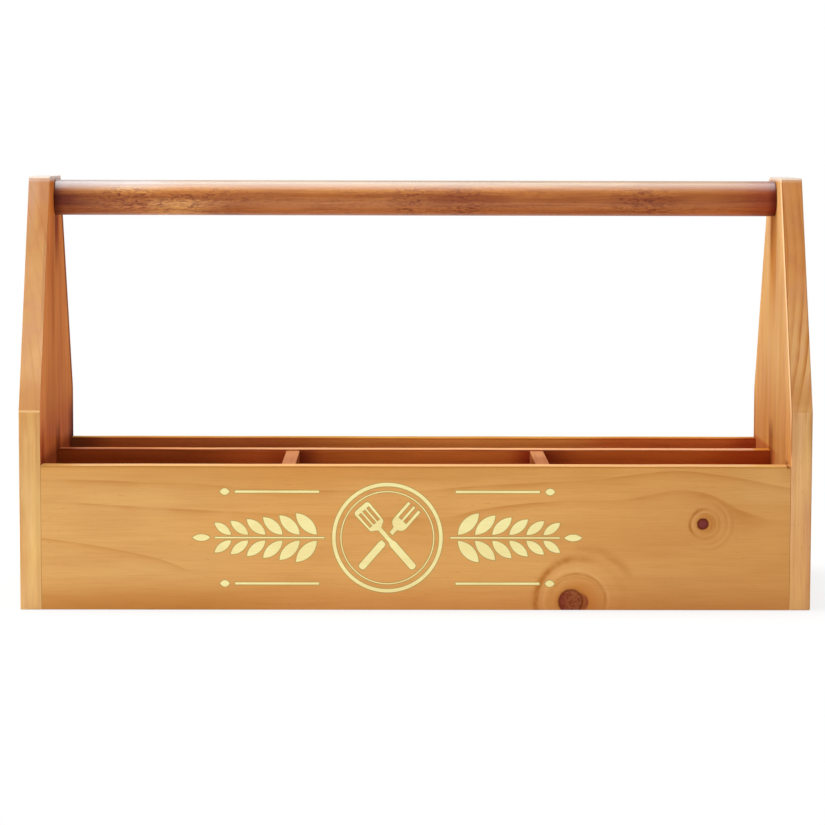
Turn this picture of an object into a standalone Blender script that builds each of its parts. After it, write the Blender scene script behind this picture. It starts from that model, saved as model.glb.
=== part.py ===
"""A wooden barbecue caddy: two gabled end panels, a front and a back board, a floor that lies in grooves,
one long divider, two cross dividers, a round handle, and the screws and nails that hold them together.

X runs along the caddy, Y from its front to its back and Z up. The origin is at the centre of the base."""

import math

import bmesh
import bpy
from mathutils import Vector

# Overall sizes, in metres
LENGTH = 0.445
DEPTH = 0.170
HEIGHT = 0.2425

# End panels: upright to the shoulder, then tapering to a flat top
PANEL_THICKNESS = 0.012
SHOULDER_HEIGHT = 0.112
PANEL_TOP_WIDTH = 0.055
PANEL_CORNER_EASE = 0.0025
PANEL_ARRIS = 0.0012

# Front and back boards
BOARD_THICKNESS = 0.012
BOARD_HEIGHT = 0.0815
BOARD_ARRIS = 0.0009

# Floor, held in a groove in each long board
FLOOR_THICKNESS = 0.005
FLOOR_UNDERSIDE = 0.006
GROOVE_DEPTH = 0.004

# Dividers
LONG_DIVIDER_THICKNESS = 0.012
LONG_DIVIDER_Y = 0.0095
CROSS_DIVIDER_THICKNESS = 0.008
CROSS_DIVIDER_X = 0.072
CROSS_DIVIDER_DROP = 0.0007
DIVIDER_ARRIS = 0.0007

# Handle, a dowel between the end panels, just under their tops
HANDLE_DIAMETER = 0.0205
HANDLE_BELOW_TOP = 0.00225
HANDLE_CHAMFER = 0.0005
HANDLE_SIDES = 64

# Clearance between pieces that touch, and round every fastener
FIT = 0.0003

# Countersunk screws: shank and head diameter, and length
PANEL_SCREW = {"shank": 0.0035, "head": 0.0070, "length": 0.032}
HANDLE_SCREW = {"shank": 0.0045, "head": 0.0090, "length": 0.040}
FLOOR_SCREW = {"shank": 0.0030, "head": 0.0060, "length": 0.016}
RECESS_WIDTH_SHARE = 0.56
RECESS_ARM_SHARE = 0.15
RECESS_DEPTH_SHARE = 0.30
RECESS_TAPER = 0.50
SCREW_SIDES = 16

# Flat-headed nails that hold the cross dividers to the long divider
NAIL = {"shank": 0.0014, "head": 0.0028, "length": 0.030}
NAIL_HEAD_THICKNESS = 0.0006
NAIL_SIDES = 10

# Where the fasteners go: above the floor's top, or below the rim of the long boards
SCREW_ABOVE_FLOOR = 0.015
SCREW_BELOW_RIM = 0.0195
NAIL_ABOVE_FLOOR = 0.019
NAIL_BELOW_RIM = 0.0195
FLOOR_SCREW_SPACING = 0.140

# How far a cutter reaches past the face it opens
CUT_OVERSHOOT = 0.002

# How finely edges are rounded, and how near two values are the same place
ARRIS_STEPS = 2
CORNER_STEPS = 3
SAME_PLACE = 1e-6

# Places worked out from the sizes above
FRONT_Y = -DEPTH / 2
BACK_Y = DEPTH / 2
PANEL_INNER_X = LENGTH / 2 - PANEL_THICKNESS
BOARD_LENGTH = 2 * (PANEL_INNER_X - FIT)
FRONT_BOARD_Y = FRONT_Y + BOARD_THICKNESS / 2
BACK_BOARD_Y = BACK_Y - BOARD_THICKNESS / 2
FLOOR_TOP = FLOOR_UNDERSIDE + FLOOR_THICKNESS
DIVIDER_BASE = FLOOR_TOP + FIT
LONG_DIVIDER_FRONT_Y = LONG_DIVIDER_Y - LONG_DIVIDER_THICKNESS / 2
LONG_DIVIDER_BACK_Y = LONG_DIVIDER_Y + LONG_DIVIDER_THICKNESS / 2
BAY_FRONT_Y = FRONT_Y + BOARD_THICKNESS
BAY_BACK_Y = BACK_Y - BOARD_THICKNESS
HANDLE_HEIGHT = HEIGHT - HANDLE_BELOW_TOP - HANDLE_DIAMETER / 2
SCREW_HEIGHTS = {"lower": FLOOR_TOP + SCREW_ABOVE_FLOOR, "upper": BOARD_HEIGHT - SCREW_BELOW_RIM}
NAIL_HEIGHTS = {"lower": FLOOR_TOP + NAIL_ABOVE_FLOOR, "upper": BOARD_HEIGHT - NAIL_BELOW_RIM}


def clear_scene():
    for obj in list(bpy.data.objects):
        bpy.data.objects.remove(obj, do_unlink=True)


def finish(name, colour, roughness, metallic=0.0):
    """One Principled material of a plain colour."""
    made = bpy.data.materials.new(name)
    made.use_nodes = True
    shader = made.node_tree.nodes["Principled BSDF"]
    shader.inputs["Base Color"].default_value = (*colour, 1.0)
    shader.inputs["Roughness"].default_value = roughness
    shader.inputs["Metallic"].default_value = metallic
    return made


def add_object(name, mesh, material, location=(0, 0, 0)):
    if not mesh.materials:
        mesh.materials.append(material)
    obj = bpy.data.objects.new(name, mesh)
    obj.location = location
    bpy.context.scene.collection.objects.link(obj)
    return obj


def mesh_from(bm, name):
    bmesh.ops.recalc_face_normals(bm, faces=bm.faces)
    mesh = bpy.data.meshes.new(name)
    bm.to_mesh(mesh)
    bm.free()
    return mesh


def round_edges(bm, edges, width, steps):
    bmesh.ops.bevel(bm, geom=edges, offset=width, segments=steps, profile=0.5, affect="EDGES")


def box_mesh(name, size, arris=0.0, along=None, top_only=False):
    """A box centred on the origin. Its edges that run along one axis, or only the top ones, are eased."""
    bm = bmesh.new()
    bmesh.ops.create_cube(bm, size=1.0)
    bmesh.ops.scale(bm, vec=size, verts=bm.verts)
    if arris:
        axis = "XYZ".index(along)
        eased = []
        for edge in bm.edges:
            first, second = (vertex.co for vertex in edge.verts)
            runs_along = abs(first[axis] - second[axis]) > size[axis] / 2
            if runs_along and (first.z > 0 or not top_only):
                eased.append(edge)
        round_edges(bm, eased, arris, ARRIS_STEPS)
    return mesh_from(bm, name)


def revolved_mesh(name, profile, sides):
    """A solid turned about Z from (radius, height) points that start and end on the axis."""
    bm = bmesh.new()
    points = [bm.verts.new((radius, 0.0, height)) for radius, height in profile]
    edges = [bm.edges.new(pair) for pair in zip(points, points[1:])]
    bmesh.ops.spin(
        bm,
        geom=points + edges,
        cent=(0, 0, 0),
        axis=(0, 0, 1),
        angle=math.tau,
        steps=sides,
        use_merge=True,
    )
    bmesh.ops.remove_doubles(bm, verts=bm.verts, dist=SAME_PLACE)
    return mesh_from(bm, name)


def cutter(name, mesh, location, direction=None):
    """A helper that only Boolean modifiers read."""
    obj = bpy.data.objects.new(name, mesh)
    obj.location = location
    if direction is not None:
        obj.rotation_mode = "QUATERNION"
        obj.rotation_quaternion = Vector(direction).to_track_quat("-Z", "Y")
    obj.hide_render = True
    obj.display_type = "WIRE"
    bpy.context.scene.collection.objects.link(obj)
    return obj


def cut(obj, tool):
    boolean = obj.modifiers.new(tool.name, "BOOLEAN")
    boolean.operation = "DIFFERENCE"
    boolean.solver = "EXACT"
    boolean.object = tool


def lies_in_face(edge):
    """Whether an edge of the end panel runs along one of its two faces, not through its thickness."""
    first, second = edge.verts
    return abs(first.co.x - second.co.x) < SAME_PLACE


def end_panel_mesh():
    """The gabled outline, made as thick as the panel, with eased edges all round both faces."""
    half_depth = DEPTH / 2
    half_top = PANEL_TOP_WIDTH / 2
    outline = [
        (-half_depth, 0.0),
        (half_depth, 0.0),
        (half_depth, SHOULDER_HEIGHT),
        (half_top, HEIGHT),
        (-half_top, HEIGHT),
        (-half_depth, SHOULDER_HEIGHT),
    ]
    half_thickness = PANEL_THICKNESS / 2
    bm = bmesh.new()
    face = bm.faces.new([bm.verts.new((-half_thickness, y, z)) for y, z in outline])
    made = bmesh.ops.extrude_face_region(bm, geom=[face])["geom"]
    moved = [item for item in made if isinstance(item, bmesh.types.BMVert)]
    bmesh.ops.translate(bm, verts=moved, vec=(PANEL_THICKNESS, 0, 0))
    crosswise = [edge for edge in bm.edges if not lies_in_face(edge)]
    top_corners = [edge for edge in crosswise if edge.verts[0].co.z > HEIGHT - SAME_PLACE]
    round_edges(bm, top_corners, PANEL_CORNER_EASE, CORNER_STEPS)
    rims = [edge for edge in bm.edges if lies_in_face(edge)]
    round_edges(bm, rims, PANEL_ARRIS, ARRIS_STEPS)
    return mesh_from(bm, "end_panel")


def screw_profile(size, grow=0.0, overshoot=0.0):
    """A countersunk screw with its head's flat at height 0, or the hole that clears it."""
    shank = size["shank"] / 2 + grow
    head = size["head"] / 2 + grow
    cone = head - shank
    tip = size["length"] + grow
    profile = [(0.0, overshoot), (head, overshoot)]
    if overshoot:
        profile.append((head, 0.0))
    return profile + [(shank, -cone), (shank, shank - tip), (0.0, -tip)]


def nail_profile(grow=0.0, overshoot=0.0):
    shank = NAIL["shank"] / 2 + grow
    head = NAIL["head"] / 2 + grow
    under_head = -NAIL_HEAD_THICKNESS - grow
    tip = NAIL["length"] + grow
    return [
        (0.0, overshoot),
        (head, overshoot),
        (head, under_head),
        (shank, under_head),
        (shank, 2 * shank - tip),
        (0.0, -tip),
    ]


def cross_recess_mesh(size):
    """The tapering cross that a driver fits: it starts above the head's flat, and has its size there."""
    depth = size["head"] * RECESS_DEPTH_SHARE
    start_scale = 1 + (1 - RECESS_TAPER) * CUT_OVERSHOOT / depth
    reach = size["head"] / 2 * RECESS_WIDTH_SHARE * start_scale
    arm = size["head"] / 2 * RECESS_ARM_SHARE * start_scale
    quarter = [(reach, -arm), (reach, arm), (arm, arm)]
    outline = []
    for turn in range(4):
        c, s = round(math.cos(turn * math.pi / 2)), round(math.sin(turn * math.pi / 2))
        outline += [(x * c - y * s, x * s + y * c) for x, y in quarter]
    bm = bmesh.new()
    face = bm.faces.new([bm.verts.new((x, y, CUT_OVERSHOOT)) for x, y in outline])
    made = bmesh.ops.extrude_face_region(bm, geom=[face])["geom"]
    lower = [item for item in made if isinstance(item, bmesh.types.BMVert)]
    end_scale = RECESS_TAPER / start_scale
    for vertex in lower:
        vertex.co = (vertex.co.x * end_scale, vertex.co.y * end_scale, -depth)
    return mesh_from(bm, "cross_recess")


def screw_mesh(name, size):
    """The screw with its recess cut, as one mesh that all screws of this size share."""
    blank = bpy.data.objects.new(name, revolved_mesh(name + "_blank", screw_profile(size), SCREW_SIDES))
    bpy.context.scene.collection.objects.link(blank)
    recess = cutter(name + "_recess", cross_recess_mesh(size), (0, 0, 0))
    cut(blank, recess)
    graph = bpy.context.evaluated_depsgraph_get()
    made = bpy.data.meshes.new_from_object(blank.evaluated_get(graph))
    made.name = name
    bpy.data.objects.remove(blank)
    bpy.data.objects.remove(recess)
    return made


def screw_kit(name, size, material):
    """A screw's mesh, the hole that clears it, and its material."""
    hole = revolved_mesh(name + "_hole", screw_profile(size, FIT, CUT_OVERSHOOT), SCREW_SIDES)
    return {"mesh": screw_mesh(name, size), "hole": hole, "material": material}


def nail_kit(material):
    mesh = revolved_mesh("nail", nail_profile(), NAIL_SIDES)
    hole = revolved_mesh("nail_hole", nail_profile(FIT, CUT_OVERSHOOT), NAIL_SIDES)
    return {"mesh": mesh, "hole": hole, "material": material}


def fasten(name, kit, head_at, direction, pieces):
    """Places a fastener with its head's flat at a point, and cuts its hole in each piece it passes."""
    obj = add_object(name, kit["mesh"], kit["material"], head_at)
    obj.rotation_mode = "QUATERNION"
    obj.rotation_quaternion = Vector(direction).to_track_quat("-Z", "Y")
    hole = cutter(name + "_clearance", kit["hole"], head_at, direction)
    for piece in pieces:
        cut(piece, hole)


def long_board(name, thickness, centre_y, base_z, arris, material, top_only=False):
    """A board that runs between the end panels and reaches up to the rim."""
    height = BOARD_HEIGHT - base_z
    mesh = box_mesh(name, (BOARD_LENGTH, thickness, height), arris, "X", top_only)
    return add_object(name, mesh, material, (0, centre_y, base_z + height / 2))


def cut_floor_grooves(front_board, back_board):
    """One groove along the inner face of each long board."""
    groove_height = FLOOR_THICKNESS + 2 * FIT
    depth = GROOVE_DEPTH + CUT_OVERSHOOT
    size = (BOARD_LENGTH + 2 * CUT_OVERSHOOT, depth, groove_height)
    centre_z = FLOOR_UNDERSIDE + FLOOR_THICKNESS / 2
    for board, inner_y, side in ((front_board, BAY_FRONT_Y, -1), (back_board, BAY_BACK_Y, 1)):
        centre_y = inner_y + side * (GROOVE_DEPTH - CUT_OVERSHOOT) / 2
        groove = cutter(board.name + "_groove", box_mesh("groove", size), (0, centre_y, centre_z))
        cut(board, groove)


def make_floor(material):
    half_width = BAY_BACK_Y + GROOVE_DEPTH - FIT
    mesh = box_mesh("floor", (BOARD_LENGTH, 2 * half_width, FLOOR_THICKNESS))
    return add_object("floor_board", mesh, material, (0, 0, FLOOR_UNDERSIDE + FLOOR_THICKNESS / 2))


def make_cross_divider(name, centre_x, material):
    front = BAY_FRONT_Y + FIT
    back = LONG_DIVIDER_FRONT_Y - FIT
    height = BOARD_HEIGHT - CROSS_DIVIDER_DROP - DIVIDER_BASE
    size = (CROSS_DIVIDER_THICKNESS, back - front, height)
    mesh = box_mesh(name, size, DIVIDER_ARRIS, "Y", top_only=True)
    return add_object(name, mesh, material, (centre_x, (front + back) / 2, DIVIDER_BASE + height / 2))


def make_handle(material):
    """The dowel, turned about its own axis, with a small chamfer at each end."""
    radius = HANDLE_DIAMETER / 2
    half_length = PANEL_INNER_X - FIT
    profile = [
        (0.0, half_length),
        (radius - HANDLE_CHAMFER, half_length),
        (radius, half_length - HANDLE_CHAMFER),
        (radius, HANDLE_CHAMFER - half_length),
        (radius - HANDLE_CHAMFER, -half_length),
        (0.0, -half_length),
    ]
    mesh = revolved_mesh("handle", profile, HANDLE_SIDES)
    handle = add_object("handle", mesh, material, (0, 0, HANDLE_HEIGHT))
    handle.rotation_euler = (0, math.pi / 2, 0)
    return handle


def drive_panel_screws(material, panels, boards, handle):
    """Through each end panel into the ends of the boards, the long divider and the handle."""
    board_kit = screw_kit("panel_screw", PANEL_SCREW, material)
    handle_kit = screw_kit("handle_screw", HANDLE_SCREW, material)
    for end, side in (("left", -1), ("right", 1)):
        panel = panels[end]
        head_x = side * (LENGTH / 2 - FIT)
        inward = (-side, 0, 0)
        for place, board in boards.items():
            for level, height in SCREW_HEIGHTS.items():
                name = f"{place}_screw_{end}_{level}"
                fasten(name, board_kit, (head_x, board.location.y, height), inward, (panel, board))
        fasten(f"handle_screw_{end}", handle_kit, (head_x, 0, HANDLE_HEIGHT), inward, (panel, handle))


def drive_floor_screws(material, floor, long_divider, cross_dividers):
    """Up through the floor into the dividers that stand on it."""
    kit = screw_kit("floor_screw", FLOOR_SCREW, material)
    head_z = FLOOR_UNDERSIDE + FIT
    upward = (0, 0, 1)
    for place, x in (("left", -FLOOR_SCREW_SPACING), ("middle", 0.0), ("right", FLOOR_SCREW_SPACING)):
        name = f"long_divider_floor_screw_{place}"
        fasten(name, kit, (x, LONG_DIVIDER_Y, head_z), upward, (floor, long_divider))
    for place, divider in cross_dividers.items():
        name = f"cross_divider_floor_screw_{place}"
        fasten(name, kit, (divider.location.x, divider.location.y, head_z), upward, (floor, divider))


def drive_nails(material, long_divider, cross_dividers):
    """Through the long divider from behind, two into the end of each cross divider."""
    kit = nail_kit(material)
    for place, divider in cross_dividers.items():
        for level, height in NAIL_HEIGHTS.items():
            head_at = (divider.location.x, LONG_DIVIDER_BACK_Y - FIT, height)
            fasten(f"divider_nail_{place}_{level}", kit, head_at, (0, -1, 0), (long_divider, divider))


def build():
    clear_scene()
    pine = finish("stained_pine", (0.66, 0.34, 0.105), 0.42)
    ply = finish("floor_ply", (0.60, 0.33, 0.13), 0.5)
    handle_wood = finish("handle_wood", (0.39, 0.128, 0.042), 0.34)
    steel = finish("zinc_steel", (0.72, 0.71, 0.68), 0.35, 1.0)

    panel_mesh = end_panel_mesh()
    panel_x = PANEL_INNER_X + PANEL_THICKNESS / 2
    panels = {
        "left": add_object("end_panel_left", panel_mesh, pine, (-panel_x, 0, 0)),
        "right": add_object("end_panel_right", panel_mesh, pine, (panel_x, 0, 0)),
    }
    front = long_board("front_board", BOARD_THICKNESS, FRONT_BOARD_Y, 0, BOARD_ARRIS, pine)
    back = long_board("back_board", BOARD_THICKNESS, BACK_BOARD_Y, 0, BOARD_ARRIS, pine)
    cut_floor_grooves(front, back)
    floor = make_floor(ply)
    long_divider = long_board(
        "long_divider", LONG_DIVIDER_THICKNESS, LONG_DIVIDER_Y, DIVIDER_BASE, DIVIDER_ARRIS, pine, True
    )
    cross_dividers = {
        "left": make_cross_divider("cross_divider_left", -CROSS_DIVIDER_X, pine),
        "right": make_cross_divider("cross_divider_right", CROSS_DIVIDER_X, pine),
    }
    handle = make_handle(handle_wood)

    boards = {"front": front, "back": back, "divider": long_divider}
    drive_panel_screws(steel, panels, boards, handle)
    drive_floor_screws(steel, floor, long_divider, cross_dividers)
    drive_nails(steel, long_divider, cross_dividers)


build()
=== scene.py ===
import math

import bpy
from mathutils import Euler, Matrix, Vector


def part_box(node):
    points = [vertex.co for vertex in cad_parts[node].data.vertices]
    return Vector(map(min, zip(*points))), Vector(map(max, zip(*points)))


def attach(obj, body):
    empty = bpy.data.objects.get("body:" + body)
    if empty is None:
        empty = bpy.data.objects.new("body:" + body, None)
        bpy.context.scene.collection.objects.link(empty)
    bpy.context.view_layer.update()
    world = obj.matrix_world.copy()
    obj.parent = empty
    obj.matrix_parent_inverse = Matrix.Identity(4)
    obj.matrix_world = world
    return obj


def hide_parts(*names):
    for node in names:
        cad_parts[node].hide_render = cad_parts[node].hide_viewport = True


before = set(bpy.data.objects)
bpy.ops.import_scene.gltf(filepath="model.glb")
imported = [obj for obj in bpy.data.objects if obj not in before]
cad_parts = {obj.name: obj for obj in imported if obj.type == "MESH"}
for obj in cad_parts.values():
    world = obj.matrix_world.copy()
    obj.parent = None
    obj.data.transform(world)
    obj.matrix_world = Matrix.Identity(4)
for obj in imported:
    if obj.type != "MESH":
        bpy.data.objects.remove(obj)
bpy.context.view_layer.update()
mm = 0.001
print("frame loaded:", len(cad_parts), "nodes")


# Camera

camera = {
    "place": (-0.0139, -1.7092, 0.2607),
    "turn": -0.0073,  # radians, all three
    "dip": 0.09146,
    "roll": 0.0023,
    "lens": 127.1,
    "sensor": 36,
}


def addCamera(look):
    data = bpy.data.cameras.new("photoCamera")
    data.sensor_width = look["sensor"]
    data.lens = look["lens"]
    made = bpy.data.objects.new("photoCamera", data)
    level = Euler((math.pi / 2 - look["dip"], 0, look["turn"])).to_matrix()
    aim = level @ Matrix.Rotation(look["roll"], 3, "Z")
    made.rotation_euler = aim.to_euler()
    made.location = look["place"]
    bpy.context.scene.collection.objects.link(made)
    bpy.context.scene.camera = made


addCamera(camera)
print("camera placed")


# Shader maths

class Wire:
    # a socket of a finish, so that maths on it reads as a plain expression
    def __init__(self, finish, socket):
        self.finish = finish
        self.socket = socket

    def __add__(self, other):
        return self.finish.maths("ADD", self, other)

    def __sub__(self, other):
        return self.finish.maths("SUBTRACT", self, other)

    def __rsub__(self, other):
        return self.finish.maths("SUBTRACT", other, self)

    def __mul__(self, other):
        return self.finish.maths("MULTIPLY", self, other)

    def __truediv__(self, other):
        return self.finish.maths("DIVIDE", self, other)

    def __pow__(self, other):
        return self.finish.maths("POWER", self, other)

    __radd__ = __add__
    __rmul__ = __mul__


class Wiring:
    # the nodes of one material, or of the world
    def __init__(self, owner):
        owner.use_nodes = True
        self.tree = owner.node_tree

    def feed(self, socket, value):
        if isinstance(value, Wire):
            self.tree.links.new(value.socket, socket)
        elif isinstance(value, (tuple, list)) and len(value) == 3 and socket.type == "RGBA":
            socket.default_value = (*value, 1)
        else:
            socket.default_value = value

    def node(self, kind, settings=None, sockets=None, output=0):
        made = self.tree.nodes.new(kind)
        for key, value in (settings or {}).items():
            if key == "stops":
                self.setStops(made.color_ramp, value)
            elif key == "points":
                self.setCurve(made.mapping, value)
            else:
                setattr(made, key, value)
        for key, value in (sockets or {}).items():
            self.feed(made.inputs[key], value)
        return Wire(self, made.outputs[output])

    def setStops(self, ramp, stops):
        while len(ramp.elements) < len(stops):
            ramp.elements.new(1)
        for element, (position, shade) in zip(ramp.elements, stops):
            element.position = position
            element.color = (*shade, 1) if isinstance(shade, tuple) else (shade, shade, shade, 1)

    def setCurve(self, mapping, points):
        curve = mapping.curves[0]
        curve.points[0].location = points[0]
        curve.points[-1].location = points[-1]
        for place in points[1:-1]:
            curve.points.new(*place)
        mapping.update()

    def maths(self, operation, *values):
        return self.node("ShaderNodeMath", {"operation": operation}, dict(enumerate(values)))

    def ramp(self, value, stops, interpolation):
        made = self.node("ShaderNodeValToRGB", {"stops": stops}, {"Fac": value})
        made.socket.node.color_ramp.interpolation = interpolation
        return made

    def mix(self, share, first, second, blend="MIX"):
        settings = {"data_type": "RGBA", "blend_type": blend, "clamp_factor": True}
        return self.node("ShaderNodeMix", settings, {0: share, 6: first, 7: second}, output=2)

    def rise(self, value, start, end):
        # 0 up to start, 1 from end on, smooth between
        settings = {"interpolation_type": "SMOOTHSTEP"}
        return self.node("ShaderNodeMapRange", settings, {"Value": value, "From Min": start, "From Max": end})

    def split(self, vector):
        return [self.node("ShaderNodeSeparateXYZ", {}, {0: vector}, output=i) for i in range(3)]

    def noise(self, vector, detail=2, roughness=0.5, distortion=0):
        sockets = {"Vector": vector, "Scale": 1, "Detail": detail}
        sockets.update({"Roughness": roughness, "Distortion": distortion})
        return self.node("ShaderNodeTexNoise", {}, sockets)

    def bump(self, height, distance, strength):
        return self.node("ShaderNodeBump", {}, {"Height": height, "Distance": distance, "Strength": strength})

    def rays(self, *kinds):
        # 1 for rays of these kinds
        seen = 0.0
        for kind in kinds:
            seen = self.maths("MAXIMUM", self.node("ShaderNodeLightPath", output=kind), seen)
        return seen

    def swell(self, offset):
        # 1 at no offset, fading to both sides
        return self.maths("EXPONENT", offset ** 2 * -1.0)


class Finish(Wiring):
    def __init__(self, name):
        self.material = bpy.data.materials.new(name)
        super().__init__(self.material)
        self.shader = self.tree.nodes["Principled BSDF"]


# Wood: growth rings round a pith line, bent round knots, under a stain and a lacquer. Sizes in millimetres.

axisNumber = {"x": 0, "y": 1, "z": 2}

stain = {
    "early": (0.70, 0.365, 0.112),
    "late": (0.50, 0.190, 0.040),
    "deep": (0.30, 0.080, 0.018),
    "warm": (1.0, 0.94, 0.82),
    # the next tone paints rounded edges paler: partly wear, partly a painted highlight
    "wornAndLit": (0.95, 0.62, 0.30),
    "knotRing": (0.47, 0.175, 0.035),
    "knotPale": (0.78, 0.44, 0.17),
    "knotFill": (0.58, 0.235, 0.055),
    "knotCore": (0.215, 0.045, 0.030),
    "knotRim": (0.145, 0.026, 0.008),
    "knotLobe": (0.26, 0.055, 0.035),
}

# how dark a ring is on its way out, in (place, amount)
softLate = [(0.0, 0.15), (0.05, 0.0), (0.62, 0.04), (0.88, 0.5), (0.965, 1.0), (1.0, 0.3)]
broadLate = [(0.0, 0.55), (0.07, 0.0), (0.42, 0.0), (0.70, 0.55), (0.88, 1.0), (1.0, 0.85)]
thinLate = [(0.0, 0.0), (0.45, 0.0), (0.74, 0.2), (0.88, 0.5), (0.95, 0.85), (0.985, 0.8), (1.0, 0.0)]

# what a wood has unless its own look says otherwise
usualWood = {
    "stain": {}, "sway": 9, "ripple": 1.6, "ringPhase": 0.0, "ringContrast": 0.7, "lateRamp": softLate,
    "blotch": 0.2, "streak": 0.16, "streakSize": 3.0, "fibre": 0.26, "flecks": 0.4, "endGrain": 0.42,
    "edgeWearAndHighlight": 0.2, "knots": (), "quiet": (), "tintsAndPaintedLight": (), "wornAndLit": (),
    "roughness": 0.46, "relief": 0.00007, "coat": 0.03, "topCoat": 0.10, "topFrom": (0.55, 0.98),
    "outerCoat": 0.2, "coatRoughness": 0.25, "coatIor": 1.5,
}

usualKnot = {
    "spread": 3.2, "push": 5, "wobble": 1.4, "lean": 0.0, "fill": 0.5, "rings": (), "uneven": 0.25,
    "mottle": 0.6, "rimFrom": 0.78,
}

# noise that is stretched along the grain: its size along and across, detail, shift, roughness and distortion
grains = {
    "sway": (110, 90, 1, 7.3),
    "ripple": (26, 16, 2, 1.9),
    "patchy": (38, 30, 2, 21.4),
    "blotch": (70, 15, 2, 4.4),
    "warm": (150, 34, 1, 12.4),
    "fibre": (24, 0.75, 4, 2.2, 0.65),
    "streak": (80, 3.0, 3, 9.1),
    "fleck": (4.5, 0.45, 1, 5.7),
    "stripe": (60, 5, 1, 17.9),
    "curl": (4.2, 1.4, 3, 23.5, 0.62, 0.9),
    "curlCloud": (60, 9, 2, 27.2),
    "knotWobble": (12, 9, 2, 3.1),
    "knotBreaks": (6, 5, 2, 13.7),
    "knotFray": (2.4, 1.3, 3, 6.6),
    "knotMottle": (1.5, 1.3, 4, 31.6, 0.75),
    "relief": (14, 5, 2, 8.8),
    "paintCloud": (26, 12, 3, 14.2),
    "paintWear": (3.2, 0.6, 2, 16.6),
}

# the oblong that growth lines are drawn in, a little larger than the board
growthFrame = {
    "left": -225,
    "length": 450,
    "foot": -60,
    "height": 180,
}


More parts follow.
